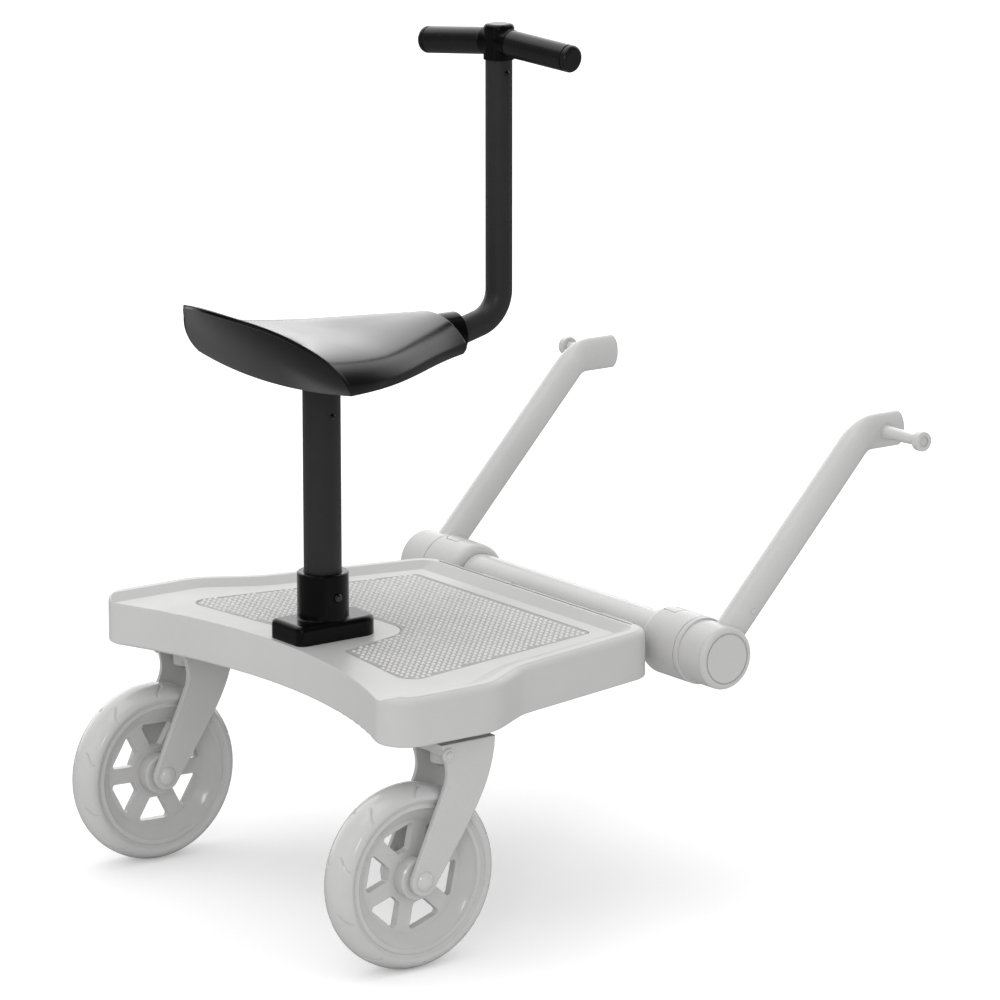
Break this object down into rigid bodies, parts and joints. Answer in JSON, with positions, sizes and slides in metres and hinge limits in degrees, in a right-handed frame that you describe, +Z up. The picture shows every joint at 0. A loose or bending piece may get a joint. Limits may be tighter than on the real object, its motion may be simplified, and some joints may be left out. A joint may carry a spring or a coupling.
{
  "type": "buggy board",
  "caption": "Ride-on board with a saddle on a post, a T-bar handle, swivelling caster wheels at the rear, and hinged coupling arms on sliding collars that hang its front from a pushchair.",
  "frame": {"origin": "floor level, middle of the overall box in X and Y", "axes": "+X to the rider's right, +Y forward to the pushchair, +Z up"},
  "size_m": [0.55, 0.6472, 0.8009],
  "materials": {
    "pale_plastic": "satin moulded",
    "dark_plastic": "satin moulded",
    "saddle_plastic": "satin gloss",
    "grip_rubber": "matt",
    "dark_tube": "powder coated",
    "pale_tube": "satin",
    "tyre": "matt",
    "bush_plastic": "smooth",
    "steel": "plain"
  },
  "bodies": {
    "board": {"board_shell": "pale_plastic", "grip_mat": "grip_rubber", "saddle_foot": "dark_plastic", "foot_screws": "steel", "saddle_post": "dark_tube", "post_rivet": "steel", "saddle_shell": "saddle_plastic", "saddle_hub": "dark_plastic", "handle_collar": "dark_plastic", "handle_tube": "dark_tube", "handle_rivet": "steel", "bar_head": "dark_plastic", "grip_left": "grip_rubber", "grip_right": "grip_rubber", "cross_tube": "pale_tube", "cradle_screws": "steel", "tube_cradle_left": "pale_plastic", "tube_cradle_right": "pale_plastic", "swivel_bush_left": "bush_plastic", "swivel_bush_right": "bush_plastic"},
    "snap_button": {"snap_button": "dark_plastic"},
    "caster_left": {"fork_left": "pale_plastic", "swivel_stem_left": "steel", "stem_ring_left": "steel", "axle_bolt_left": "steel", "axle_nut_left": "steel"},
    "wheel_left": {"tyre_left": "tyre", "wheel_rim_left": "pale_plastic", "hub_bushes_left": "bush_plastic"},
    "carrier_left": {"slide_collar_left": "pale_plastic", "collar_ring_left": "steel"},
    "tongue_left": {"release_tongue_left": "pale_plastic"},
    "arm_left": {"pivot_collar_left": "pale_plastic", "collar_cap_left": "pale_plastic", "arm_tube_left": "pale_tube", "arm_rivet_left": "steel", "arm_plug_left": "pale_plastic", "coupling_pin_left": "steel"},
    "caster_right": {"fork_right": "pale_plastic", "swivel_stem_right": "steel", "stem_ring_right": "steel", "axle_bolt_right": "steel", "axle_nut_right": "steel"},
    "wheel_right": {"tyre_right": "tyre", "wheel_rim_right": "pale_plastic", "hub_bushes_right": "bush_plastic"},
    "carrier_right": {"slide_collar_right": "pale_plastic", "collar_ring_right": "steel"},
    "tongue_right": {"release_tongue_right": "pale_plastic"},
    "arm_right": {"pivot_collar_right": "pale_plastic", "collar_cap_right": "pale_plastic", "arm_tube_right": "pale_tube", "arm_rivet_right": "steel", "arm_plug_right": "pale_plastic", "coupling_pin_right": "steel"}
  },
  "joints": [
    {"name": "snap_button_press", "type": "slide", "parent": "board", "child": "snap_button", "axis": [-1, 0, 0], "range_m": [0, 0.004], "stiffness_N_per_m": 400},
    {"name": "caster_swivel_left", "type": "hinge", "parent": "board", "child": "caster_left", "pos_m": [-0.209, -0.1961, 0.2], "axis": [0, 0, 1], "continuous": true},
    {"name": "wheel_spin_left", "type": "hinge", "parent": "caster_left", "child": "wheel_left", "pos_m": [-0.209, -0.2386, 0.085], "axis": [1, 0, 0], "continuous": true},
    {"name": "collar_slide_left", "type": "slide", "parent": "board", "child": "carrier_left", "axis": [-1, 0, 0], "range_m": [-0.012, 0.028]},
    {"name": "tongue_press_left", "type": "hinge", "parent": "carrier_left", "child": "tongue_left", "pos_m": [-0.1815, 0.1029, 0.2644], "axis": [0, -1, 0], "range_deg": [0, 8], "stiffness_Nm_per_rad": 2},
    {"name": "arm_tilt_left", "type": "hinge", "parent": "carrier_left", "child": "arm_left", "pos_m": [-0.225, 0.1029, 0.235], "axis": [1, 0, 0], "range_deg": [-40, 40]},
    {"name": "caster_swivel_right", "type": "hinge", "parent": "board", "child": "caster_right", "pos_m": [0.209, -0.1961, 0.2], "axis": [0, 0, 1], "continuous": true},
    {"name": "wheel_spin_right", "type": "hinge", "parent": "caster_right", "child": "wheel_right", "pos_m": [0.209, -0.2386, 0.085], "axis": [1, 0, 0], "continuous": true},
    {"name": "collar_slide_right", "type": "slide", "parent": "board", "child": "carrier_right", "axis": [1, 0, 0], "range_m": [0, 0.04]},
    {"name": "tongue_press_right", "type": "hinge", "parent": "carrier_right", "child": "tongue_right", "pos_m": [0.1625, 0.1029, 0.2644], "axis": [0, -1, 0], "range_deg": [0, 8], "stiffness_Nm_per_rad": 2},
    {"name": "arm_tilt_right", "type": "hinge", "parent": "carrier_right", "child": "arm_right", "pos_m": [0.213, 0.1029, 0.235], "axis": [1, 0, 0], "range_deg": [-40, 40]}
  ]
}
